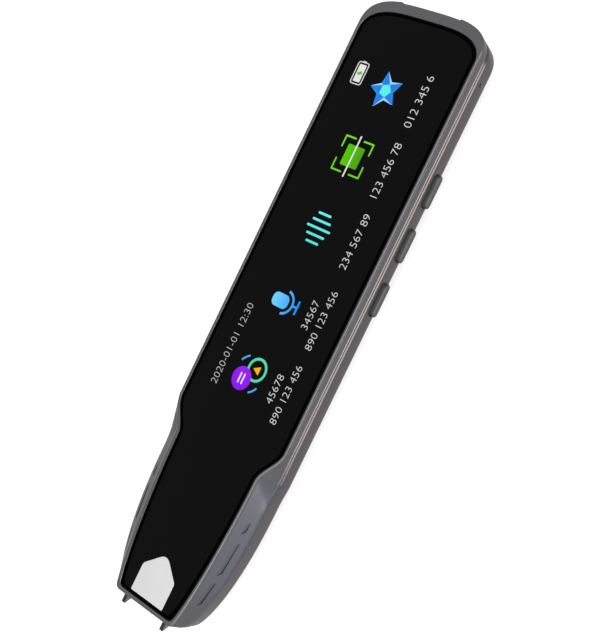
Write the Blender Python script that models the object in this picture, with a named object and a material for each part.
"""Handheld scanning pen, lying on its back with the screen up.

The frame is +X to the key side, +Y from the scanning tip to the top end and
+Z out of the screen. The origin is the middle of the flat strip along the back.
"""
import math

import bpy
import bmesh

MM = 0.001

# Body
LENGTH = 155.0 * MM
WIDTH = 33.0 * MM
DEPTH = 13.5 * MM
WALL = 1.4 * MM
GAP = 0.3 * MM              # between neighbouring pieces
OVERRUN = 1.0 * MM          # how far a cutter passes the face it cuts

# Plan of the casing, measured from the tip
NECK_INSET = 0.35 * MM      # in from the casing's side where the nose begins
TIP_HALF = 9.9 * MM         # half width of the straight tip edge
NECK_FROM_TIP = 35.0 * MM
SHOULDER_FROM_TIP = 41.0 * MM
ARCH_RISE = 8.1 * MM        # length of the rounded top end
BODY_NOSE_POWER = 2.2
BODY_SIDE_POWER = 3.5
BODY_END_POWER = 2.65
NOSE_FALL_POWER = 2.0 / 3.0

# Back of the casing
CROWN_SHARE = 0.35          # of the depth, the rounded part of the section
CROWN_POWER = 2.3
FLAT_HALF = 4.5 * MM        # the flat strip that the pen rests on
TIP_EDGE = 5.2 * MM
TOP_EDGE = 3.5 * MM

# Cover glass
GLASS_THICK = 1.0 * MM
GLASS_GAP = 0.25 * MM
GLASS_NECK_INSET = 3.8 * MM  # in from the glass's side where its nose begins
GLASS_TIP_HALF = 7.9 * MM
GLASS_TIP_INSET = 1.2 * MM
GLASS_TOP_INSET = 3.05 * MM
GLASS_NECK_FROM_TIP = 39.6 * MM
GLASS_SHOULDER_FROM_TIP = 48.6 * MM
GLASS_ARCH_RISE = 6.05 * MM
GLASS_NOSE_POWER = 1.57
GLASS_SIDE_POWER = 3.9
GLASS_END_POWER = 2.1
GLASS_EDGE = 0.15 * MM      # polished chamfer

# Front frame
FRAME_DEPTH = 3.5 * MM      # from the glass face to the parting line
RIM_WIDTH = 1.0 * MM        # outside the glass along the sides
RIM_CHAMFER = 0.35 * MM
RIM_LIP = 0.2 * MM
LIP_DROP = 0.05 * MM
LEDGE_THICK = 0.9 * MM
LEDGE_WIDTH = 1.6 * MM
PART_BEVEL = 0.25 * MM      # softened edges of the parting line
TONGUE_THICK = 0.7 * MM
TONGUE_ROOT = 0.9 * MM
TONGUE_SLOPE = 0.35 * MM

# Window in the tip of the glass
SIGHT_HALF = 5.0 * MM
SIGHT_INSET = 0.8 * MM      # in from the glass's edge at the tip
SIGHT_SIDE = 7.0 * MM       # length of its straight sides
SIGHT_PEAK = 4.0 * MM       # height of its pointed end
SIGHT_POINT_HALF = 0.6 * MM  # half width of the blunted point

# Finger grooves on the sloping nose faces, from the tip
GROOVES = (                 # start, end
    (7.3 * MM, 13.3 * MM),
    (15.8 * MM, 24.2 * MM),
    (27.0 * MM, 29.8 * MM),
)
GROOVE_DEPTH = 0.4 * MM
GROOVE_LIP = 0.04 * MM
GROOVE_SLANT = 1.2 * MM
GROOVE_LOW_SHARE = 0.22     # of the slope, up from the parting line
GROOVE_HIGH_SHARE = 0.48

# Speaker grille and the ring groove on the back
GRILLE_FROM_TOP = 20.0 * MM
GRILLE_COLUMNS = 7
GRILLE_ROWS = 5
GRILLE_PITCH = 2.15 * MM
GRILLE_HOLE_R = 0.52 * MM
RING_FROM_TOP = 34.8 * MM
RING_R = 4.0 * MM
RING_WIDTH = 0.3 * MM
RING_DEPTH = 0.2 * MM

# Grip inlays on both sides of the back
INLAY_SIDE = 3.7 * MM       # in from the casing's side
INLAY_WIDTH = 5.2 * MM
INLAY_FROM_TOP = 25.4 * MM
INLAY_FIRST = 7.5 * MM      # outer edge of the pointed one
INLAY_START = 37.9 * MM
INLAY_PITCH = 6.8 * MM
INLAY_EDGE = 3.1 * MM
INLAY_SLANT = 6.2 * MM
INLAY_BARS = 5
INLAY_SINK = 0.1 * MM
INLAY_THICK = 0.35 * MM
INLAY_CLEAR = 0.2 * MM

# Scanning trigger in the tip
NOTCH_HALF = 7.4 * MM
NOTCH_DEPTH = 6.4 * MM
EAR_THICK = 1.2 * MM
EAR_START = 1.4 * MM
HUB_FROM_TIP = 5.0 * MM
HUB_Z = 2.0 * MM
HUB_R = 1.2 * MM
HUB_TRIM = 0.96             # the bar is a little slimmer than the arms' feet
BOSS_R = 0.95 * MM
PIN_R = 0.5 * MM
PIN_REACH = 1.1 * MM        # into each ear
ARM_CENTRE = 6.2 * MM
ARM_THICK = 1.1 * MM
ARM_REACH = 2.5 * MM        # past the tip
ARM_HEEL = 0.7 * MM
ARM_TOP_DROP = 1.65 * MM    # under the glass face
ARM_NOSE = 3.1 * MM         # height of the slanted end
ARM_BACK = 2.6 * MM         # rear end of the arm's top
HUB_SLOT_WIDTH = 1.0 * MM
HUB_SLOT_LENGTH = 1.3 * MM
HUB_SLOT_DEPTH = 0.5 * MM
ARM_SLOT_BACK = 4.2 * MM

# Switch that the trigger presses
SWITCH_WIDTH = 3.2 * MM
SWITCH_HEIGHT = 3.0 * MM
SWITCH_LENGTH = 3.0 * MM
SWITCH_X = 6.7 * MM
PLUNGER_ARM = 4.0 * MM      # over the trigger's pin
PLUNGER_X = 6.0 * MM
PLUNGER_R = 0.4 * MM
PLUNGER_IN = 1.2 * MM
PLUNGER_TRAVEL = 0.6 * MM

# Camera behind the tip
FLANGE_FROM_TIP = 7.3 * MM
FLANGE_THICK = 0.8 * MM
TUNNEL_HALF = 4.7 * MM
TUNNEL_WALL = 0.7 * MM
TUNNEL_LENGTH = 15.0 * MM
TUNNEL_RISE = 0.55 * MM     # over the casing's floor at the middle
TUNNEL_DROP = 0.7 * MM      # under the parting line
WINDOW_THICK = 0.7 * MM
WINDOW_INSET = 1.6 * MM
BARREL_BORDER = 0.375 * MM  # of the lamp board round the barrel's hole
BARREL_FRONT_SHARE = 0.85   # of its radius, at the front
BARREL_LENGTH = 5.6 * MM
BARREL_STEP = 1.4 * MM
LENS_SHARE = 0.5            # of the barrel's radius
LENS_CLEAR = 0.15 * MM
LENS_CROWN = 0.5 * MM
LENS_SHARES = (1.0, 0.8, 0.4)  # radii of the crown's steps
LAMP_WIDTH = 1.5 * MM
LAMP_HEIGHT = 0.9 * MM
LAMP_THICK = 0.7 * MM
SENSOR_THICK = 0.8 * MM
RIBBON_THICK = 0.2 * MM
RIBBON_BEND = 1.2 * MM       # how far a ribbon stands out round an end

# Display stack
PANEL_THICK = 1.4 * MM
PANEL_SIDE = 0.6 * MM       # in from the frame's ledge
PANEL_FROM_TIP = 51.5 * MM
PANEL_FROM_TOP = 10.0 * MM
LIGHT_THICK = 0.8 * MM
CHASSIS_THICK = 0.8 * MM
CHASSIS_FROM_TOP = 5.6 * MM
CHASSIS_CORNER = 8.0 * MM
BOARD_THICK = 0.8 * MM
BOARD_SIDE = 5.7 * MM       # in from the casing's side
BOARD_CORNER = 3.0 * MM
BOARD_HOLE_R = 0.9 * MM
SCREW_R = 0.6 * MM
SCREW_HEAD_R = 1.3 * MM
SCREW_HEAD = 0.7 * MM
SCREW_SIDE = 1.9 * MM       # in from the board's edge
SCREW_FROM_TIP = 55.0 * MM
SCREW_FROM_SPEAKER = 2.4 * MM
SCREW_RECESS_R = 0.45 * MM

# Battery
BATTERY_FROM_TIP = 58.0 * MM
BATTERY_FROM_TOP = 42.0 * MM
BATTERY_SIDE = 6.6 * MM
BATTERY_CORNER = 1.2 * MM
PAD_SIDE = 1.2 * MM
PAD_THICK = 0.5 * MM
PAD_LIFT = 0.6 * MM

# Shield can and memory chip on the board
SCREW_CLEAR = 1.1 * MM      # from the screw heads and the speaker
SHIELD_LENGTH = 10.0 * MM
SHIELD_DEEP = 1.4 * MM
SHIELD_CORNER = 0.6 * MM
CHIP_SPACE = 0.6 * MM
CHIP_WIDTH = 3.4 * MM
CHIP_LENGTH = 6.6 * MM
CHIP_DEEP = 0.9 * MM

# Speaker
SEAT_R = 8.6 * MM
SEAT_WIDTH = 0.9 * MM
SEAT_TOP = 2.2 * MM
GASKET_THICK = 0.5 * MM
CAVITY_SHARE = 0.49         # of the speaker's height, open in front of the cone
CONE_EDGE = 0.5 * MM
CONE_RISE = 0.45 * MM
CONE_CAP = 0.3 * MM
CONE_SHARES = (0.6, 0.4, 0.15)  # radii of the dome's steps
MESH_THICK = 0.2 * MM

# Keys on the +X side
KEY_FROM_TOP = 37.9 * MM
KEY_PITCH = 13.9 * MM
KEY_COUNT = 3
KEY_LENGTH = 8.4 * MM
KEY_HEIGHT = 2.2 * MM
KEY_PROUD = 1.0 * MM
KEY_EDGE = 0.3 * MM
KEY_LIP = 0.3 * MM
KEY_LIP_THICK = 0.7 * MM
KEY_LEVEL_SHARE = 0.16      # of the straight side, up from the crown
BUTTON_R = 0.7 * MM
BUTTON_LENGTH = 1.2 * MM
BUTTON_BORE = 1.0 * MM
TACT_WIDTH = 3.0 * MM
TACT_HEIGHT = 2.8 * MM
TACT_THICK = 1.2 * MM
TACT_FROM_KEY = 0.9 * MM
KEY_BOARD_THICK = 0.5 * MM
KEY_BOARD_END = 2.4 * MM

# Charging socket and microphone
SOCKET_WIDTH = 8.9 * MM
SOCKET_HEIGHT = 3.2 * MM
SOCKET_WALL = 0.3 * MM
SOCKET_LENGTH = 7.2 * MM
SOCKET_SINK = 0.8 * MM      # from the top end
TONGUE_PLATE = 0.7 * MM
TONGUE_WIDTH = 6.4 * MM
TONGUE_SHORT = 1.0 * MM
END_RECESS_HALF = 7.8 * MM
END_RECESS = 0.35 * MM
MIC_FROM_TOP = 11.3 * MM
MIC_LEVEL_SHARE = 0.35      # of the straight side, up from the crown
MIC_HOLE_R = 0.45 * MM
MIC_R = 1.2 * MM
MIC_THICK = 1.2 * MM

# Facets
TIP_STEPS = 2
NOSE_STEPS = 9
SHOULDER_STEPS = 6
SIDE_STEPS = 4
ARCH_STEPS = 9
CROWN_STEPS = 7
ROUND_STEPS = 16
SMALL_STEPS = 10
CORNER_STEPS = 4
SHARP_DEGREES = 35

# Levels and places that follow from the sizes above
HALF = WIDTH / 2
CROWN_HEIGHT = CROWN_SHARE * DEPTH
NECK_HALF = HALF - NECK_INSET
GLASS_HALF = HALF - RIM_WIDTH
GLASS_NECK_HALF = GLASS_HALF - GLASS_NECK_INSET
TIP_Y = -LENGTH / 2
TOP_Y = LENGTH / 2
Z_GLASS_BACK = DEPTH - GLASS_THICK
Z_LEDGE_TOP = Z_GLASS_BACK - GAP
Z_LEDGE_BACK = Z_LEDGE_TOP - LEDGE_THICK
Z_RIM = DEPTH - RIM_CHAMFER
Z_PART = DEPTH - FRAME_DEPTH
Z_FRAME_LOW = Z_PART + GAP / 2
Z_SHELL_TOP = Z_PART - GAP / 2
Z_TONGUE = Z_LEDGE_BACK - GAP
Z_PANEL = Z_LEDGE_TOP - PANEL_THICK
Z_LIGHT_TOP = Z_PANEL - GAP
Z_LIGHT = Z_LIGHT_TOP - LIGHT_THICK
Z_CHASSIS_TOP = Z_LIGHT - GAP
Z_CHASSIS = Z_CHASSIS_TOP - CHASSIS_THICK
Z_BOARD_TOP = Z_CHASSIS - GAP
Z_BOARD = Z_BOARD_TOP - BOARD_THICK
Z_UNDER = Z_BOARD - GAP
Z_KEY = CROWN_HEIGHT + KEY_LEVEL_SHARE * (Z_PART - CROWN_HEIGHT)
Z_MIC = CROWN_HEIGHT + MIC_LEVEL_SHARE * (Z_PART - CROWN_HEIGHT)
INLAY_OUTER = HALF - INLAY_SIDE
INLAY_INNER = INLAY_OUTER - INLAY_WIDTH
PANEL_HALF = GLASS_HALF - LEDGE_WIDTH - PANEL_SIDE
BOARD_HALF = HALF - BOARD_SIDE
HUB_Y = TIP_Y + HUB_FROM_TIP
PLUNGER_Z = HUB_Z + PLUNGER_ARM
FLANGE_Y = TIP_Y + FLANGE_FROM_TIP
TUNNEL_Z = WALL + TUNNEL_RISE
TUNNEL_TOP = Z_PART - TUNNEL_DROP
TUNNEL_END = FLANGE_Y + FLANGE_THICK + TUNNEL_LENGTH
OPTIC_Z = (TUNNEL_Z + TUNNEL_TOP) / 2
TUNNEL_HALF_Z = (TUNNEL_TOP - TUNNEL_Z) / 2 - GAP
LIGHT_HALF_Z = TUNNEL_HALF_Z - TUNNEL_WALL
LIGHT_HALF = TUNNEL_HALF - TUNNEL_WALL
LAMP_X = LIGHT_HALF - GAP - LAMP_HEIGHT / 2
BARREL_R = min(LIGHT_HALF_Z - GAP - BARREL_BORDER, LAMP_X - LAMP_HEIGHT / 2) - GAP
LENS_R = LENS_SHARE * BARREL_R
GRILLE_Y = TOP_Y - GRILLE_FROM_TOP
SPEAKER_Z = SEAT_TOP + GAP + GASKET_THICK + GAP


def clear_scene():
    """Start from an empty scene."""
    for item in list(bpy.data.objects):
        bpy.data.objects.remove(item, do_unlink=True)


def material(name, colour, roughness, metallic=0.0, alpha=1.0):
    """A Principled material with one colour."""
    finish = bpy.data.materials.new(name)
    finish.use_nodes = True
    shader = finish.node_tree.nodes["Principled BSDF"]
    shader.inputs["Base Color"].default_value = (*colour, 1.0)
    shader.inputs["Roughness"].default_value = roughness
    shader.inputs["Metallic"].default_value = metallic
    shader.inputs["Alpha"].default_value = alpha
    return finish


def add_object(name, bm, finish=None, place=(0, 0, 0)):
    """Turn a bmesh into an object with its faces pointing out."""
    bmesh.ops.recalc_face_normals(bm, faces=bm.faces)
    mesh = bpy.data.meshes.new(name)
    bm.to_mesh(mesh)
    bm.free()
    mesh.shade_smooth()
    mesh.set_sharp_from_angle(angle=math.radians(SHARP_DEGREES))
    item = bpy.data.objects.new(name, mesh)
    item.location = place
    bpy.context.scene.collection.objects.link(item)
    if finish is None:
        item.hide_render = True
        item.display_type = "WIRE"
    else:
        mesh.materials.append(finish)
    return item


def combine(target, other, operation):
    """Add a Boolean modifier to the target."""
    step = target.modifiers.new(operation.title(), "BOOLEAN")
    step.operation = operation
    step.object = other
    step.solver = "EXACT"


def loft(bm, loops, ring=False):
    """Skin loops of equally many points, with end caps unless it is a ring."""
    rows = [[bm.verts.new(point) for point in loop] for loop in loops]
    count = len(rows[0])
    pairs = list(zip(rows, rows[1:]))
    if ring:
        pairs.append((rows[-1], rows[0]))
    for lower, upper in pairs:
        for i in range(count):
            j = (i + 1) % count
            bm.faces.new((lower[i], lower[j], upper[j], upper[i]))
    if not ring:
        bm.faces.new(rows[0])
        bm.faces.new(rows[-1])


def circle(radius, steps, centre=(0, 0)):
    """Points of a circle in a plane."""
    turns = [2 * math.pi * i / steps for i in range(steps)]
    return [(centre[0] + radius * math.cos(a), centre[1] + radius * math.sin(a)) for a in turns]


def rounded(half_a, half_b, radius, centre=(0, 0)):
    """Points of a rectangle with round corners in a plane."""
    radius = min(radius, half_a, half_b)
    points = []
    for quarter, (sign_a, sign_b) in enumerate(((1, 1), (-1, 1), (-1, -1), (1, -1))):
        mid_a = centre[0] + sign_a * (half_a - radius)
        mid_b = centre[1] + sign_b * (half_b - radius)
        for i in range(CORNER_STEPS + 1):
            angle = math.pi / 2 * (quarter + i / CORNER_STEPS)
            points.append((mid_a + radius * math.cos(angle), mid_b + radius * math.sin(angle)))
    return points


def lift(points, axis, level):
    """Put plane points at a level along an axis: X (y, z), Y (x, z) or Z (x, y)."""
    if axis == "X":
        return [(level, a, b) for a, b in points]
    if axis == "Y":
        return [(a, level, b) for a, b in points]
    return [(a, b, level) for a, b in points]


def extrude(bm, points, axis, low, high):
    """A straight prism with flat ends."""
    loft(bm, [lift(points, axis, low), lift(points, axis, high)])


def prism(name, points, axis, low, high, finish=None, place=(0, 0, 0)):
    """An object that is one straight prism."""
    bm = bmesh.new()
    extrude(bm, points, axis, low, high)
    return add_object(name, bm, finish, place)


def block(name, half_x, half_y, half_z, place, finish=None, edge=0):
    """A box about its own centre, with round vertical edges where edge is set."""
    if edge:
        outline = rounded(half_x, half_y, edge)
    else:
        outline = [(half_x, half_y), (-half_x, half_y), (-half_x, -half_y), (half_x, -half_y)]
    return prism(name, outline, "Z", -half_z, half_z, finish, place)


def span(name, low, high, finish=None, edge=0):
    """A box between two corners."""
    middle = [(a + b) / 2 for a, b in zip(low, high)]
    half = [(b - a) / 2 for a, b in zip(low, high)]
    return block(name, half[0], half[1], half[2], middle, finish, edge)


def stepped(name, steps, axis, finish=None, place=(0, 0, 0)):
    """A stepped body: outlines of equally many points at levels along an axis."""
    bm = bmesh.new()
    loft(bm, [lift(points, axis, level) for level, points in steps])
    return add_object(name, bm, finish, place)


def tube(name, outer, inner, low, high, finish=None, place=(0, 0, 0)):
    """A short upright tube."""
    bm = bmesh.new()
    edges = ((low, inner), (low, outer), (high, outer), (high, inner))
    loft(bm, [lift(circle(radius, ROUND_STEPS * 2), "Z", level) for level, radius in edges], ring=True)
    return add_object(name, bm, finish, place)


# Plans: the outlines that the casing, the rim and the glass follow

def plan(half, neck, tip, tip_y, neck_y, shoulder_y, arch_y, top_y, powers):
    """Closed plan outline from the middle of the tip, up the +X side and down the other."""
    nose_power, side_power, end_power = powers
    side = [(tip * i / TIP_STEPS, tip_y) for i in range(TIP_STEPS + 1)]
    for i in range(1, NOSE_STEPS + 1):
        along = math.cos(math.pi / 2 * i / NOSE_STEPS)
        fall = max(0.0, 1 - along ** nose_power) ** NOSE_FALL_POWER
        side.append((tip + (neck - tip) * fall, neck_y - (neck_y - tip_y) * along))
    for i in range(1, SHOULDER_STEPS + 1):
        t = i / SHOULDER_STEPS
        side.append((neck + (half - neck) * t * t * (3 - 2 * t), neck_y + (shoulder_y - neck_y) * t))
    for i in range(1, SIDE_STEPS + 1):
        side.append((half, shoulder_y + (arch_y - shoulder_y) * i / SIDE_STEPS))
    for i in range(1, ARCH_STEPS + 1):
        turn = math.pi / 2 * i / ARCH_STEPS
        across = max(0.0, math.cos(turn)) ** (2 / side_power)
        along = math.sin(turn) ** (2 / end_power)
        side.append((half * across, arch_y + (top_y - arch_y) * along))
    side[-1] = (0, top_y)
    return side + [(-x, y) for x, y in reversed(side[1:-1])]


def body_plan(inset=0):
    """The casing at its widest, at the parting line."""
    return plan(HALF - inset, NECK_HALF - inset, TIP_HALF - inset, TIP_Y + inset,
                TIP_Y + NECK_FROM_TIP, TIP_Y + SHOULDER_FROM_TIP, TOP_Y - ARCH_RISE,
                TOP_Y - inset, (BODY_NOSE_POWER, BODY_SIDE_POWER, BODY_END_POWER))


def rim_plan(inset=0):
    """The outer edge of the rim round the glass."""
    return plan(HALF - inset, GLASS_NECK_HALF + RIM_WIDTH - inset,
                GLASS_TIP_HALF + RIM_WIDTH - inset, TIP_Y + inset,
                TIP_Y + GLASS_NECK_FROM_TIP, TIP_Y + GLASS_SHOULDER_FROM_TIP,
                TOP_Y - ARCH_RISE, TOP_Y - inset,
                (GLASS_NOSE_POWER, BODY_SIDE_POWER, BODY_END_POWER))


def glass_plan(inset=0):
    """The cover glass."""
    return plan(GLASS_HALF - inset, GLASS_NECK_HALF - inset, GLASS_TIP_HALF - inset,
                TIP_Y + GLASS_TIP_INSET + inset, TIP_Y + GLASS_NECK_FROM_TIP,
                TIP_Y + GLASS_SHOULDER_FROM_TIP, TOP_Y - GLASS_TOP_INSET - GLASS_ARCH_RISE,
                TOP_Y - GLASS_TOP_INSET - inset,
                (GLASS_NOSE_POWER, GLASS_SIDE_POWER, GLASS_END_POWER))


def mix(first, second, share):
    """Points part of the way from one outline to another."""
    return [(a[0] + (b[0] - a[0]) * share, a[1] + (b[1] - a[1]) * share)
            for a, b in zip(first, second)]


def frame_line(z, inset=0):
    """The frame's outline at a height between the parting line and the rim."""
    share = (z - Z_PART) / (Z_RIM - Z_PART)
    return mix(body_plan(inset), rim_plan(inset), share)


def crown_loops(inset):
    """Loops of the rounded back, from the flat strip up to the straight side."""
    base = body_plan(inset)
    half = HALF - inset
    loops = []
    for i in range(CROWN_STEPS + 1):
        turn = math.pi / 2 * (1 - i / CROWN_STEPS)
        across = max(0.0, math.cos(turn)) ** (2 / CROWN_POWER)
        down = math.sin(turn) ** (2 / CROWN_POWER)
        if i == 0:
            across = 0.0
        wide = (FLAT_HALF + (half - FLAT_HALF) * across) / half
        level = inset + (CROWN_HEIGHT - inset) * (1 - down)
        tip = 1 + TIP_EDGE * (1 - across) / TIP_Y
        top = 1 - TOP_EDGE * (1 - across) / TOP_Y
        loops.append([(x * wide, y * (tip if y < 0 else top), level) for x, y in base])
    return loops


def crown_solid(name, inset):
    """The space inside the back's surface, used to fit the grip inlays and the ears."""
    bm = bmesh.new()
    loft(bm, crown_loops(inset) + [lift(body_plan(inset), "Z", Z_PART)])
    return add_object(name, bm)


# Casing

def key_places():
    """The middle of each key along the body."""
    return [TOP_Y - KEY_FROM_TOP - KEY_PITCH * i for i in range(KEY_COUNT)]


def inlay_outlines(grow):
    """Plan outlines of the grip inlays on the +X side, first the pointed one."""
    outer, inner = INLAY_OUTER + grow, INLAY_INNER - grow
    start = TOP_Y - INLAY_FROM_TOP
    slope = INLAY_SLANT / (INLAY_OUTER - INLAY_INNER)
    rise = grow * math.hypot(1, slope)
    point_y = start - INLAY_FIRST - INLAY_SLANT
    shapes = [[(outer, start + rise + grow), (outer, start - INLAY_FIRST - rise + grow * slope),
               (inner, point_y - rise - grow * slope), (inner, point_y + rise)]]
    for i in range(INLAY_BARS):
        high = TOP_Y - INLAY_START - INLAY_PITCH * i
        low = high - INLAY_EDGE
        shapes.append([(outer, high + rise + grow * slope), (outer, low - rise + grow * slope),
                       (inner, low - INLAY_SLANT - rise - grow * slope),
                       (inner, high - INLAY_SLANT + rise - grow * slope)])
    return shapes


def grille_places():
    """Centres of the grille holes: a grid without its corners."""
    places = []
    for row in range(GRILLE_ROWS):
        for column in range(GRILLE_COLUMNS):
            corner = row in (0, GRILLE_ROWS - 1) and column in (0, GRILLE_COLUMNS - 1)
            if not corner:
                x = (column - (GRILLE_COLUMNS - 1) / 2) * GRILLE_PITCH
                y = (row - (GRILLE_ROWS - 1) / 2) * GRILLE_PITCH
                places.append((x, GRILLE_Y + y))
    return places


def end_recess():
    """Cutter for the shallow recess across the top end."""
    arch = [point for point in body_plan(END_RECESS) if point[1] > TOP_Y - ARCH_RISE]
    arch.sort()
    left = [p for p in arch if p[0] < -END_RECESS_HALF][-1]
    first = [p for p in arch if p[0] > -END_RECESS_HALF][0]
    share = (-END_RECESS_HALF - left[0]) / (first[0] - left[0])
    corner_y = left[1] + (first[1] - left[1]) * share
    inner = [(x, y) for x, y in arch if abs(x) < END_RECESS_HALF]
    outline = [(-END_RECESS_HALF, corner_y)] + inner + [(END_RECESS_HALF, corner_y)]
    outline += [(END_RECESS_HALF, TOP_Y + OVERRUN), (-END_RECESS_HALF, TOP_Y + OVERRUN)]
    return prism("cut_end_recess", outline, "Z", -OVERRUN, DEPTH + OVERRUN)


def make_back_shell(finish, recess):
    """Moulded back: an open tub with a tongue that locates in the frame."""
    outer = crown_loops(0)
    outer.append(lift(body_plan(), "Z", Z_SHELL_TOP - PART_BEVEL))
    outer.append(lift(body_plan(PART_BEVEL), "Z", Z_SHELL_TOP))
    tongue = WALL + GAP
    outer.append(lift(body_plan(tongue), "Z", Z_SHELL_TOP))
    outer.append(lift(frame_line(Z_TONGUE, tongue), "Z", Z_TONGUE))
    outer.append(lift(frame_line(Z_TONGUE, tongue + TONGUE_THICK), "Z", Z_TONGUE))
    root = Z_PART - TONGUE_ROOT
    outer.append(lift(body_plan(tongue + TONGUE_THICK), "Z", root + TONGUE_SLOPE))
    outer.append(lift(body_plan(WALL), "Z", root))
    bm = bmesh.new()
    loft(bm, outer + crown_loops(WALL)[::-1])
    shell = add_object("back_shell", bm, finish)

    bm = bmesh.new()
    for place in grille_places():
        extrude(bm, circle(GRILLE_HOLE_R, SMALL_STEPS, place), "Z", -OVERRUN, WALL + OVERRUN)
    combine(shell, add_object("cut_grille", bm), "DIFFERENCE")

    groove = tube("cut_ring_groove", RING_R, RING_R - RING_WIDTH, -OVERRUN, RING_DEPTH,
                  place=(0, TOP_Y - RING_FROM_TOP, 0))
    combine(shell, groove, "DIFFERENCE")

    bm = bmesh.new()
    for shape in inlay_outlines(INLAY_CLEAR):
        extrude(bm, shape, "Z", -OVERRUN, CROWN_HEIGHT)
        extrude(bm, [(-x, y) for x, y in shape], "Z", -OVERRUN, CROWN_HEIGHT)
    pockets = add_object("cut_inlay_pockets", bm)
    combine(pockets, crown_solid("core_pocket", INLAY_SINK + INLAY_THICK + GAP), "DIFFERENCE")
    combine(shell, pockets, "DIFFERENCE")

    bm = bmesh.new()
    for y in key_places():
        slot = rounded(KEY_LENGTH / 2 + GAP, KEY_HEIGHT / 2 + GAP, KEY_HEIGHT, (y, Z_KEY))
        extrude(bm, slot, "X", HALF - WALL - OVERRUN, HALF + OVERRUN)
    combine(shell, add_object("cut_key_slots", bm), "DIFFERENCE")
    mic = prism("cut_mic_hole", circle(MIC_HOLE_R, SMALL_STEPS), "X", -WALL - OVERRUN, OVERRUN,
                place=(HALF, TOP_Y - MIC_FROM_TOP, Z_MIC))
    combine(shell, mic, "DIFFERENCE")
    port = prism("cut_socket", rounded(SOCKET_WIDTH / 2 + GAP, SOCKET_HEIGHT / 2 + GAP, SOCKET_HEIGHT),
                 "Y", -SOCKET_SINK - SOCKET_LENGTH - GAP, OVERRUN,
                 place=(0, TOP_Y, Z_UNDER - SOCKET_HEIGHT / 2))
    combine(shell, port, "DIFFERENCE")
    combine(shell, recess, "DIFFERENCE")

    inside = crown_solid("core_ears", WALL / 2)
    for side in (-1, 1):
        inner, outside = (NOTCH_HALF - GAP / 2) * side, (NOTCH_HALF + EAR_THICK) * side
        ear = span(f"join_ear_{side}",
                   (min(inner, outside), TIP_Y + EAR_START, -OVERRUN),
                   (max(inner, outside), FLANGE_Y + FLANGE_THICK, Z_SHELL_TOP - GAP))
        combine(ear, inside, "INTERSECT")
        combine(shell, ear, "UNION")
    seat = tube("join_speaker_seat", SEAT_R, SEAT_R - SEAT_WIDTH, WALL / 2, SEAT_TOP,
                place=(0, GRILLE_Y, 0))
    combine(shell, seat, "UNION")

    notch = span("cut_notch", (-NOTCH_HALF, TIP_Y - OVERRUN, -OVERRUN),
                 (NOTCH_HALF, TIP_Y + NOTCH_DEPTH, DEPTH))
    combine(shell, notch, "DIFFERENCE")
    reach = NOTCH_HALF + EAR_THICK + GAP
    bore = prism("cut_pin_bore", circle(PIN_R + GAP, SMALL_STEPS), "X", -reach, reach,
                 place=(0, HUB_Y, HUB_Z))
    combine(shell, bore, "DIFFERENCE")
    return shell


def make_grip_inlays(finish):
    """Dark grip pieces let into the back, mirrored left and right."""
    face = crown_solid("core_inlay_face", INLAY_SINK)
    back = crown_solid("core_inlay_back", INLAY_SINK + INLAY_THICK)
    for side, label in ((1, "right"), (-1, "left")):
        for i, shape in enumerate(inlay_outlines(0)):
            outline = [(side * x, y) for x, y in shape]
            if i == 0:
                outline = outline[:3]
            inlay = prism(f"grip_inlay_{label}_{i + 1}", outline, "Z", -OVERRUN, CROWN_HEIGHT, finish)
            combine(inlay, face, "INTERSECT")
            combine(inlay, back, "DIFFERENCE")


def slope_point(along, share, side, out):
    """A point on the frame's sloping nose face, moved out of it by out."""
    def width(points, y):
        right = [p for p in points if p[0] > 0]
        for a, b in zip(right, right[1:]):
            if a[1] <= y <= b[1] and b[1] > a[1]:
                return a[0] + (b[0] - a[0]) * (y - a[1]) / (b[1] - a[1])
        return right[0][0]
    y = TIP_Y + along
    low, high = width(body_plan(), y), width(rim_plan(), y)
    run, rise = low - high, Z_RIM - Z_PART
    size = math.hypot(run, rise)
    x = low + (high - low) * share + out * rise / size
    z = Z_PART + rise * share + out * run / size
    return (side * x, y, z)


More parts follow.
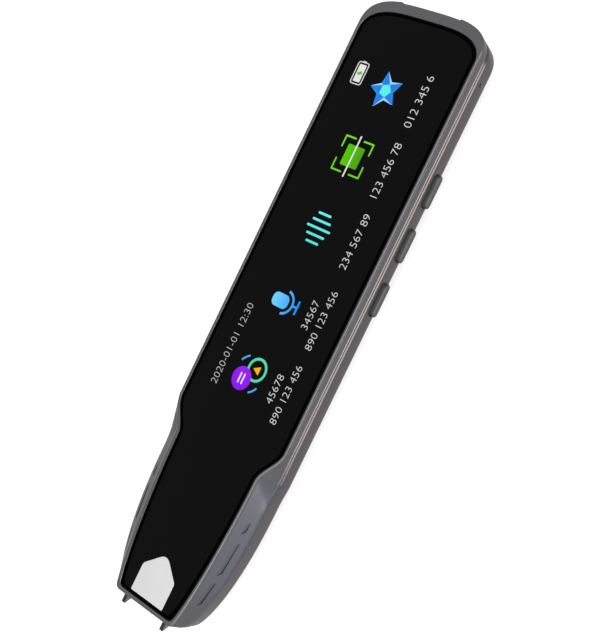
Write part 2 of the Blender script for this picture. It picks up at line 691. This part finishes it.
def make_front_frame(finish, recess):
    """Ring that carries the glass: rim, sloping nose faces, ledge and side wall."""
    loops = [
        lift(body_plan(PART_BEVEL), "Z", Z_FRAME_LOW),
        lift(frame_line(Z_FRAME_LOW + PART_BEVEL), "Z", Z_FRAME_LOW + PART_BEVEL),
        lift(rim_plan(), "Z", Z_RIM),
        lift(glass_plan(-GLASS_GAP - RIM_LIP), "Z", DEPTH - LIP_DROP),
        lift(glass_plan(-GLASS_GAP), "Z", DEPTH - LIP_DROP),
        lift(glass_plan(-GLASS_GAP), "Z", Z_LEDGE_TOP),
        lift(glass_plan(LEDGE_WIDTH), "Z", Z_LEDGE_TOP),
        lift(glass_plan(LEDGE_WIDTH), "Z", Z_LEDGE_BACK),
        lift(frame_line(Z_LEDGE_BACK, WALL), "Z", Z_LEDGE_BACK),
        lift(frame_line(Z_FRAME_LOW, WALL), "Z", Z_FRAME_LOW),
    ]
    bm = bmesh.new()
    loft(bm, loops, ring=True)
    frame = add_object("front_frame", bm, finish)

    bm = bmesh.new()
    for side in (-1, 1):
        for start, end in GROOVES:
            corners = ((start, GROOVE_HIGH_SHARE, -GROOVE_LIP),
                       (end, GROOVE_HIGH_SHARE, -GROOVE_LIP),
                       (end + GROOVE_SLANT, GROOVE_LOW_SHARE, -GROOVE_DEPTH),
                       (start + GROOVE_SLANT, GROOVE_LOW_SHARE, -GROOVE_DEPTH))
            floor = [slope_point(along, share, side, out) for along, share, out in corners]
            above = [slope_point(along, share, side, OVERRUN) for along, share, _ in corners]
            loft(bm, [floor, above])
    combine(frame, add_object("cut_grooves", bm), "DIFFERENCE")

    bm = bmesh.new()
    for side in (-1, 1):
        half = ARM_THICK / 2 + GAP
        outline = [(side * ARM_CENTRE + dx, y) for dx, y in (
            (-half, TIP_Y - OVERRUN), (half, TIP_Y - OVERRUN),
            (half, TIP_Y + ARM_SLOT_BACK), (-half, TIP_Y + ARM_SLOT_BACK))]
        extrude(bm, outline, "Z", CROWN_HEIGHT, Z_GLASS_BACK)
    combine(frame, add_object("cut_arm_slots", bm), "DIFFERENCE")
    combine(frame, recess, "DIFFERENCE")
    return frame


# Front: glass, window and display

def sight_outline(grow):
    """Outline of the window: straight sides and a pointed end."""
    base = TIP_Y + GLASS_TIP_INSET + SIGHT_INSET
    half = SIGHT_HALF + grow
    shoulder = base + SIGHT_SIDE + grow / 2
    peak = base + SIGHT_SIDE + SIGHT_PEAK + grow
    return [(-half, base - grow), (half, base - grow), (half, shoulder),
            (SIGHT_POINT_HALF, peak), (-SIGHT_POINT_HALF, peak), (-half, shoulder)]


def make_cover_glass(finish):
    """Black-printed cover glass with a polished edge and a cut-out for the window."""
    bm = bmesh.new()
    loft(bm, [lift(glass_plan(), "Z", Z_GLASS_BACK),
              lift(glass_plan(), "Z", DEPTH - GLASS_EDGE),
              lift(glass_plan(GLASS_EDGE), "Z", DEPTH)])
    glass = add_object("cover_glass", bm, finish)
    cut = prism("cut_sight_window", sight_outline(GAP), "Z", Z_GLASS_BACK - OVERRUN, DEPTH + OVERRUN)
    combine(glass, cut, "DIFFERENCE")


def make_display(panel_finish, light_finish, ribbon_finish):
    """Display panel, its backlight and the ribbon round the chassis end."""
    low, high = TIP_Y + PANEL_FROM_TIP, TOP_Y - PANEL_FROM_TOP
    span("display_panel", (-PANEL_HALF, low, Z_PANEL), (PANEL_HALF, high, Z_LEDGE_TOP), panel_finish)
    span("display_backlight", (-PANEL_HALF, low, Z_LIGHT), (PANEL_HALF, high, Z_LIGHT_TOP), light_finish)
    start, bend = low - GAP, low - RIBBON_BEND
    outer = [(start, Z_PANEL + PANEL_THICK / 2), (bend, Z_PANEL + PANEL_THICK / 2 - GAP),
             (bend, Z_UNDER - RIBBON_THICK + GAP), (start, Z_UNDER - RIBBON_THICK),
             (low + SENSOR_THICK, Z_UNDER - RIBBON_THICK)]
    inner = [(low + SENSOR_THICK, Z_UNDER), (start, Z_UNDER),
             (bend + RIBBON_THICK, Z_UNDER + GAP),
             (bend + RIBBON_THICK, Z_PANEL + PANEL_THICK / 2 - GAP - RIBBON_THICK),
             (start, Z_PANEL + PANEL_THICK / 2 - RIBBON_THICK)]
    prism("display_ribbon", outer + inner, "X", -PANEL_HALF / 2, -GAP, ribbon_finish)


def screw_places():
    """Middles of the board screws."""
    side = BOARD_HALF - SCREW_SIDE
    rows = (TIP_Y + SCREW_FROM_TIP, GRILLE_Y - SEAT_R - SCREW_FROM_SPEAKER)
    return [(x, y) for y in rows for x in (-side, side)]


def make_boards(chassis_finish, board_finish, screw_finish):
    """Chassis plate, main board under it and the screws that join them."""
    bm = bmesh.new()
    for place in screw_places():
        extrude(bm, circle(BOARD_HOLE_R, SMALL_STEPS, place), "Z",
                Z_BOARD - OVERRUN, Z_CHASSIS_TOP + OVERRUN)
    holes = add_object("cut_screw_holes", bm)
    low = TIP_Y + PANEL_FROM_TIP
    high = TOP_Y - CHASSIS_FROM_TOP
    middle, half = (low + high) / 2, (high - low) / 2
    chassis = prism("chassis_plate", rounded(BOARD_HALF, half, CHASSIS_CORNER), "Z",
                    Z_CHASSIS, Z_CHASSIS_TOP, chassis_finish, (0, middle, 0))
    combine(chassis, holes, "DIFFERENCE")
    board = prism("main_board", rounded(BOARD_HALF, half, BOARD_CORNER), "Z",
                  Z_BOARD, Z_BOARD_TOP, board_finish, (0, middle, 0))
    combine(board, holes, "DIFFERENCE")
    for i, (x, y) in enumerate(screw_places()):
        head = Z_UNDER - SCREW_HEAD
        stepped(f"board_screw_{i + 1}", (
            (head + SCREW_HEAD / 2, circle(SCREW_RECESS_R, SMALL_STEPS)),
            (head, circle(SCREW_RECESS_R, SMALL_STEPS)),
            (head, circle(SCREW_HEAD_R, SMALL_STEPS)),
            (Z_UNDER, circle(SCREW_HEAD_R, SMALL_STEPS)),
            (Z_UNDER, circle(SCREW_R, SMALL_STEPS)),
            (Z_CHASSIS_TOP - GAP / 2, circle(SCREW_R, SMALL_STEPS)),
        ), "Z", screw_finish, (x, y, 0))


def make_board_parts(shield_finish, chip_finish):
    """Shield can and memory chip under the board, beside each other."""
    middle = GRILLE_Y - SEAT_R - SCREW_CLEAR - SHIELD_LENGTH / 2
    side = BOARD_HALF - SCREW_SIDE - SCREW_HEAD_R - SCREW_CLEAR
    shield_side = side - CHIP_WIDTH - CHIP_SPACE
    block("shield_can", (side + shield_side) / 2, SHIELD_LENGTH / 2, SHIELD_DEEP / 2,
          ((shield_side - side) / 2, middle, Z_UNDER - SHIELD_DEEP / 2), shield_finish, SHIELD_CORNER)
    block("memory_chip", CHIP_WIDTH / 2, CHIP_LENGTH / 2, CHIP_DEEP / 2,
          (side - CHIP_WIDTH / 2, middle, Z_UNDER - CHIP_DEEP / 2), chip_finish)


def make_battery(cell_finish, pad_finish):
    """Flat pouch cell on a foam pad."""
    half = HALF - BATTERY_SIDE
    low, high = TIP_Y + BATTERY_FROM_TIP, TOP_Y - BATTERY_FROM_TOP
    pad_low = WALL + PAD_LIFT
    cell_low = pad_low + PAD_THICK + GAP
    middle = (low + high) / 2
    prism("battery_cell", rounded(half, (Z_UNDER - cell_low) / 2, BATTERY_CORNER), "Y",
          -(high - low) / 2, (high - low) / 2, cell_finish, (0, middle, (Z_UNDER + cell_low) / 2))
    block("battery_pad", half - PAD_SIDE, (high - low) / 2 - PAD_SIDE, PAD_THICK / 2,
          (0, middle, pad_low + PAD_THICK / 2), pad_finish)


# Top end: speaker, charging socket and microphone

def make_speaker(frame_finish, cone_finish, gasket_finish, mesh_finish):
    """Speaker with its dust mesh, gasket and domed cone, facing the grille."""
    steps = ROUND_STEPS * 2
    seat_in = SEAT_R - SEAT_WIDTH
    place = (0, GRILLE_Y, 0)
    tube("speaker_gasket", SEAT_R, seat_in, SEAT_TOP + GAP, SPEAKER_Z - GAP, gasket_finish, place)
    roof = SPEAKER_Z + CAVITY_SHARE * (Z_UNDER - SPEAKER_Z)
    stepped("speaker_frame", (
        (roof, circle(seat_in - CONE_EDGE, steps)), (SPEAKER_Z, circle(seat_in, steps)),
        (SPEAKER_Z, circle(SEAT_R, steps)), (roof, circle(SEAT_R, steps)),
        (roof, circle(seat_in, steps)), (Z_UNDER, circle(seat_in, steps)),
    ), "Z", frame_finish, place)
    cone = seat_in - CONE_EDGE - GAP * 2
    foot, middle, crown = CONE_SHARES
    rim = roof - GAP
    stepped("speaker_cone", (
        (rim, circle(cone, steps)), (rim - CONE_EDGE, circle(cone, steps)),
        (rim - CONE_EDGE, circle(cone * foot, steps)),
        (rim - CONE_EDGE - CONE_RISE, circle(cone * middle, steps)),
        (rim - CONE_EDGE - CONE_RISE - CONE_CAP, circle(cone * crown, steps)),
    ), "Z", cone_finish, place)
    prism("grille_mesh", circle(seat_in - GAP, steps), "Z", WALL + GAP, WALL + GAP + MESH_THICK,
          mesh_finish, place)


def make_socket(metal, plastic):
    """Charging socket: drawn steel shell and the tongue inside it."""
    z = Z_UNDER - SOCKET_HEIGHT / 2
    mouth = TOP_Y - SOCKET_SINK
    back = mouth - SOCKET_LENGTH
    outer = rounded(SOCKET_WIDTH / 2, SOCKET_HEIGHT / 2, SOCKET_HEIGHT)
    inner = rounded(SOCKET_WIDTH / 2 - SOCKET_WALL, SOCKET_HEIGHT / 2 - SOCKET_WALL, SOCKET_HEIGHT)
    stepped("charging_socket", (
        (back + SOCKET_WALL, inner), (mouth, inner), (mouth, outer), (back, outer),
    ), "Y", metal, (0, 0, z))
    prism("socket_tongue", rounded(TONGUE_WIDTH / 2, TONGUE_PLATE / 2, GAP), "Y",
          back + SOCKET_WALL + GAP, mouth - TONGUE_SHORT, plastic, (0, 0, z))


def make_microphone(finish):
    """Microphone capsule against the hole in the side wall."""
    face = HALF - WALL - GAP
    stepped("microphone", (
        (face - MIC_THICK, circle(MIC_R, ROUND_STEPS)), (face - GAP, circle(MIC_R, ROUND_STEPS)),
        (face, circle(MIC_R - GAP, ROUND_STEPS)), (face, circle(MIC_HOLE_R, ROUND_STEPS)),
        (face - GAP, circle(MIC_HOLE_R, ROUND_STEPS)),
    ), "X", finish, (0, TOP_Y - MIC_FROM_TOP, Z_MIC))


# Keys on the side

def make_keys(key_finish, switch_finish, button_finish, board_finish):
    """Side keys, each with the switch and switch button behind it."""
    names = ("power", "volume_up", "volume_down")
    lip_face = HALF - WALL - GAP
    lip_back = lip_face - KEY_LIP_THICK
    tact_face = lip_back - TACT_FROM_KEY
    tact_back = tact_face - TACT_THICK
    places = key_places()
    for label, y in zip(names, places):
        cap = rounded(KEY_LENGTH / 2, KEY_HEIGHT / 2, KEY_HEIGHT)
        soft = rounded(KEY_LENGTH / 2 - KEY_EDGE, KEY_HEIGHT / 2 - KEY_EDGE, KEY_HEIGHT)
        lip = rounded(KEY_LENGTH / 2 + GAP + KEY_LIP, KEY_HEIGHT / 2 + KEY_LIP, KEY_HEIGHT)
        face = HALF + KEY_PROUD
        stepped(f"key_{label}", (
            (lip_back - HALF, lip), (lip_face - HALF, lip), (lip_face - HALF, cap),
            (face - KEY_EDGE - HALF, cap), (face - HALF, soft),
        ), "X", key_finish, (HALF, y, Z_KEY))
        bore = circle(BUTTON_R + GAP, SMALL_STEPS)
        tact = span(f"key_switch_{label}", (tact_back, y - TACT_WIDTH / 2, Z_KEY - TACT_HEIGHT / 2),
                    (tact_face, y + TACT_WIDTH / 2, Z_KEY + TACT_HEIGHT / 2), switch_finish)
        cut = prism(f"cut_tact_{label}", bore, "X", tact_face - BUTTON_BORE, tact_face + OVERRUN,
                    place=(0, y, Z_KEY))
        combine(tact, cut, "DIFFERENCE")
        end = lip_back - GAP
        prism(f"switch_button_{label}", circle(BUTTON_R, SMALL_STEPS), "X", -BUTTON_LENGTH, 0,
              button_finish, (end, y, Z_KEY))
    strip = tact_back - GAP
    span("key_board", (strip - KEY_BOARD_THICK, places[-1] - KEY_BOARD_END, Z_KEY - TACT_HEIGHT / 2),
         (strip, places[0] + KEY_BOARD_END, Z_KEY + TACT_HEIGHT / 2), board_finish)


# Tip: trigger, its switch and the camera

def arm_outline():
    """Side outline of a trigger arm about the hub, with the hub's round as its foot."""
    top = DEPTH - ARM_TOP_DROP - HUB_Z
    front = -HUB_FROM_TIP
    points = [(front - ARM_REACH, top), (front - ARM_HEEL, top - ARM_NOSE)]
    turns = SMALL_STEPS
    for i in range(turns + 1):
        angle = math.pi + math.pi * i / turns
        points.append((HUB_R * math.cos(angle), HUB_R * math.sin(angle)))
    points += [(HUB_R, HUB_R / 2), (ARM_BACK - HUB_FROM_TIP + ARM_HEEL, top - ARM_HEEL),
               (ARM_BACK - HUB_FROM_TIP, top)]
    return points


def make_trigger(finish, pin_finish):
    """Scanning trigger: two arms past the tip on a hub that turns on a pin."""
    place = (0, HUB_Y, HUB_Z)
    lever = prism("trigger_lever", circle(HUB_R * HUB_TRIM, ROUND_STEPS), "X",
                  -ARM_CENTRE, ARM_CENTRE, finish, place)
    for side in (-1, 1):
        arm = prism(f"join_arm_{side}", arm_outline(), "X", side * ARM_CENTRE - ARM_THICK / 2,
                    side * ARM_CENTRE + ARM_THICK / 2, place=place)
        combine(lever, arm, "UNION")
    boss = ARM_CENTRE + ARM_THICK / 2 + GAP
    ends = prism("join_bosses", circle(BOSS_R, ROUND_STEPS), "X", -boss, boss, place=place)
    combine(lever, ends, "UNION")
    bore = prism("cut_hub_bore", circle(PIN_R + GAP / 2, SMALL_STEPS), "X", -boss - OVERRUN,
                 boss + OVERRUN, place=place)
    combine(lever, bore, "DIFFERENCE")
    slot = span("cut_hub_slot",
                (-HUB_SLOT_WIDTH / 2, HUB_Y - HUB_SLOT_LENGTH / 2, HUB_Z - HUB_R - OVERRUN),
                (HUB_SLOT_WIDTH / 2, HUB_Y + HUB_SLOT_LENGTH / 2, HUB_Z - HUB_R + HUB_SLOT_DEPTH))
    combine(lever, slot, "DIFFERENCE")
    reach = NOTCH_HALF + PIN_REACH
    prism("trigger_pin", circle(PIN_R, SMALL_STEPS), "X", -reach, reach, pin_finish, place)


def arm_back_y(z):
    """The rear edge of an arm at a height."""
    top = DEPTH - ARM_TOP_DROP - ARM_HEEL
    low_y, low_z = HUB_Y + HUB_R, HUB_Z + HUB_R / 2
    high_y = TIP_Y + ARM_BACK + ARM_HEEL
    return low_y + (high_y - low_y) * (z - low_z) / (top - low_z)


def make_micro_switch(case_finish, plunger_finish):
    """Micro switch behind the right arm, with its plunger against the arm."""
    face = FLANGE_Y + FLANGE_THICK + GAP
    case = span("micro_switch",
                (SWITCH_X - SWITCH_WIDTH / 2, face, PLUNGER_Z - SWITCH_HEIGHT / 2),
                (SWITCH_X + SWITCH_WIDTH / 2, face + SWITCH_LENGTH, PLUNGER_Z + SWITCH_HEIGHT / 2),
                case_finish)
    depth = PLUNGER_IN + PLUNGER_TRAVEL
    bore = prism("cut_plunger_bore", circle(PLUNGER_R + GAP, SMALL_STEPS), "Y", -OVERRUN, depth,
                 place=(PLUNGER_X, face, PLUNGER_Z))
    combine(case, bore, "DIFFERENCE")
    start = arm_back_y(PLUNGER_Z + PLUNGER_R) + GAP
    prism("switch_plunger", circle(PLUNGER_R, SMALL_STEPS), "Y", start - face, PLUNGER_IN,
          plunger_finish, (PLUNGER_X, face, PLUNGER_Z))


def make_camera(housing_finish, clear_finish, barrel_finish, board_finish, lamp_finish):
    """Camera: flange behind the trigger, light tunnel, window, lens, lamps and sensor."""
    flange_half = NOTCH_HALF - GAP / 2 - GAP
    back = TUNNEL_END - FLANGE_Y

    def box(half_a, half_b):
        return rounded(half_a, half_b, GAP)

    housing = stepped("camera_housing", (
        (back - TUNNEL_WALL, box(LIGHT_HALF, LIGHT_HALF_Z)), (0, box(LIGHT_HALF, LIGHT_HALF_Z)),
        (0, box(flange_half, TUNNEL_HALF_Z + GAP)),
        (FLANGE_THICK, box(flange_half, TUNNEL_HALF_Z + GAP)),
        (FLANGE_THICK, box(TUNNEL_HALF, TUNNEL_HALF_Z)), (back, box(TUNNEL_HALF, TUNNEL_HALF_Z)),
    ), "Y", housing_finish, (0, FLANGE_Y, OPTIC_Z))
    eye = prism("cut_lens_bore", circle(BARREL_R + GAP, ROUND_STEPS), "Y", -TUNNEL_WALL * 2, OVERRUN,
                place=(0, TUNNEL_END, OPTIC_Z))
    combine(housing, eye, "DIFFERENCE")
    way = prism("cut_plunger_way", circle(PLUNGER_R + GAP, SMALL_STEPS), "Y", -OVERRUN,
                FLANGE_THICK + OVERRUN, place=(PLUNGER_X, FLANGE_Y, PLUNGER_Z))
    combine(housing, way, "DIFFERENCE")

    prism("scan_window", box(LIGHT_HALF - GAP, LIGHT_HALF_Z - GAP), "Y", 0, WINDOW_THICK, clear_finish,
          (0, FLANGE_Y + WINDOW_INSET, OPTIC_Z))

    nose = TUNNEL_END - BARREL_LENGTH + BARREL_STEP
    lens_seat = nose + LENS_CROWN + GAP
    stepped("lens_barrel", (
        (lens_seat, circle(LENS_R + LENS_CLEAR, ROUND_STEPS)),
        (nose, circle(LENS_R + LENS_CLEAR, ROUND_STEPS)),
        (nose, circle(BARREL_R * BARREL_FRONT_SHARE, ROUND_STEPS)),
        (nose + BARREL_STEP, circle(BARREL_R, ROUND_STEPS)),
        (TUNNEL_END + BARREL_STEP, circle(BARREL_R, ROUND_STEPS)),
    ), "Y", barrel_finish, (0, 0, OPTIC_Z))
    last = len(LENS_SHARES) - 1
    stepped("camera_lens", [
        (lens_seat - GAP - LENS_CROWN * i / last, circle(LENS_R * share, ROUND_STEPS))
        for i, share in enumerate(LENS_SHARES)
    ], "Y", clear_finish, (0, 0, OPTIC_Z))

    plate = TUNNEL_END - TUNNEL_WALL - GAP
    board = prism("lamp_board", box(LIGHT_HALF - GAP, LIGHT_HALF_Z - GAP), "Y",
                  plate - TUNNEL_WALL, plate, board_finish, (0, 0, OPTIC_Z))
    hole = prism("cut_lamp_board", circle(BARREL_R + GAP, ROUND_STEPS), "Y",
                 plate - OVERRUN - TUNNEL_WALL, plate + OVERRUN, place=(0, 0, OPTIC_Z))
    combine(board, hole, "DIFFERENCE")
    for side, label in ((-1, "left"), (1, "right")):
        lamp_y = plate - TUNNEL_WALL - GAP - LAMP_THICK / 2
        block(f"scan_lamp_{label}", LAMP_HEIGHT / 2, LAMP_THICK / 2, LAMP_WIDTH / 2,
              (side * LAMP_X, lamp_y, OPTIC_Z), lamp_finish)

    sensor = TUNNEL_END + BARREL_STEP + GAP
    span("camera_board", (-TUNNEL_HALF, sensor, OPTIC_Z - TUNNEL_HALF_Z),
         (TUNNEL_HALF, sensor + SENSOR_THICK, OPTIC_Z + TUNNEL_HALF_Z), board_finish)


def make_camera_ribbon(finish):
    """Flat ribbon from the camera board to the main board."""
    low = TUNNEL_END + BARREL_STEP + GAP + SENSOR_THICK + GAP
    high = TIP_Y + PANEL_FROM_TIP + SCREW_HEAD_R
    span("camera_ribbon", (GAP * 2, low, Z_UNDER - RIBBON_THICK),
         (TUNNEL_HALF, high, Z_UNDER), finish)


def main():
    """Build the pen piece by piece."""
    clear_scene()
    grey = material("satin grey shell", (0.14, 0.14, 0.145), 0.32, 0.6)
    frame_grey = material("satin grey frame", (0.13, 0.13, 0.135), 0.3, 0.6)
    dark = material("dark grip", (0.045, 0.045, 0.048), 0.55)
    black = material("printed cover glass", (0.006, 0.006, 0.006), 0.08)
    white = material("white window", (0.72, 0.72, 0.72), 0.35)
    panel = material("display panel", (0.01, 0.01, 0.012), 0.2)
    film = material("backlight film", (0.8, 0.8, 0.78), 0.5)
    magnesium = material("cast chassis", (0.45, 0.45, 0.46), 0.45, 0.8)
    board = material("green board", (0.02, 0.12, 0.05), 0.45)
    steel = material("bright steel", (0.62, 0.62, 0.63), 0.25, 1.0)
    pouch = material("battery pouch", (0.55, 0.56, 0.58), 0.4, 0.6)
    foam = material("black foam", (0.02, 0.02, 0.02), 0.9)
    plastic = material("black plastic", (0.02, 0.02, 0.02), 0.45)
    lever = material("grey trigger", (0.2, 0.2, 0.2), 0.4, 0.3)
    clear = material("clear lens", (0.85, 0.88, 0.9), 0.05, 0.0, 0.35)
    amber = material("amber ribbon", (0.35, 0.14, 0.03), 0.4)
    lamp = material("lamp body", (0.85, 0.82, 0.6), 0.3)

    recess = end_recess()
    make_back_shell(grey, recess)
    make_grip_inlays(dark)
    make_front_frame(frame_grey, recess)
    make_cover_glass(black)
    prism("sight_window", sight_outline(0), "Z", Z_GLASS_BACK, DEPTH, white)
    make_display(panel, film, amber)
    make_boards(magnesium, board, steel)
    make_board_parts(steel, plastic)
    make_battery(pouch, foam)
    make_speaker(plastic, foam, foam, steel)
    make_socket(steel, plastic)
    make_microphone(steel)
    make_keys(frame_grey, plastic, lever, amber)
    make_trigger(lever, steel)
    make_micro_switch(plastic, white)
    make_camera(plastic, clear, plastic, board, lamp)
    make_camera_ribbon(amber)


main()
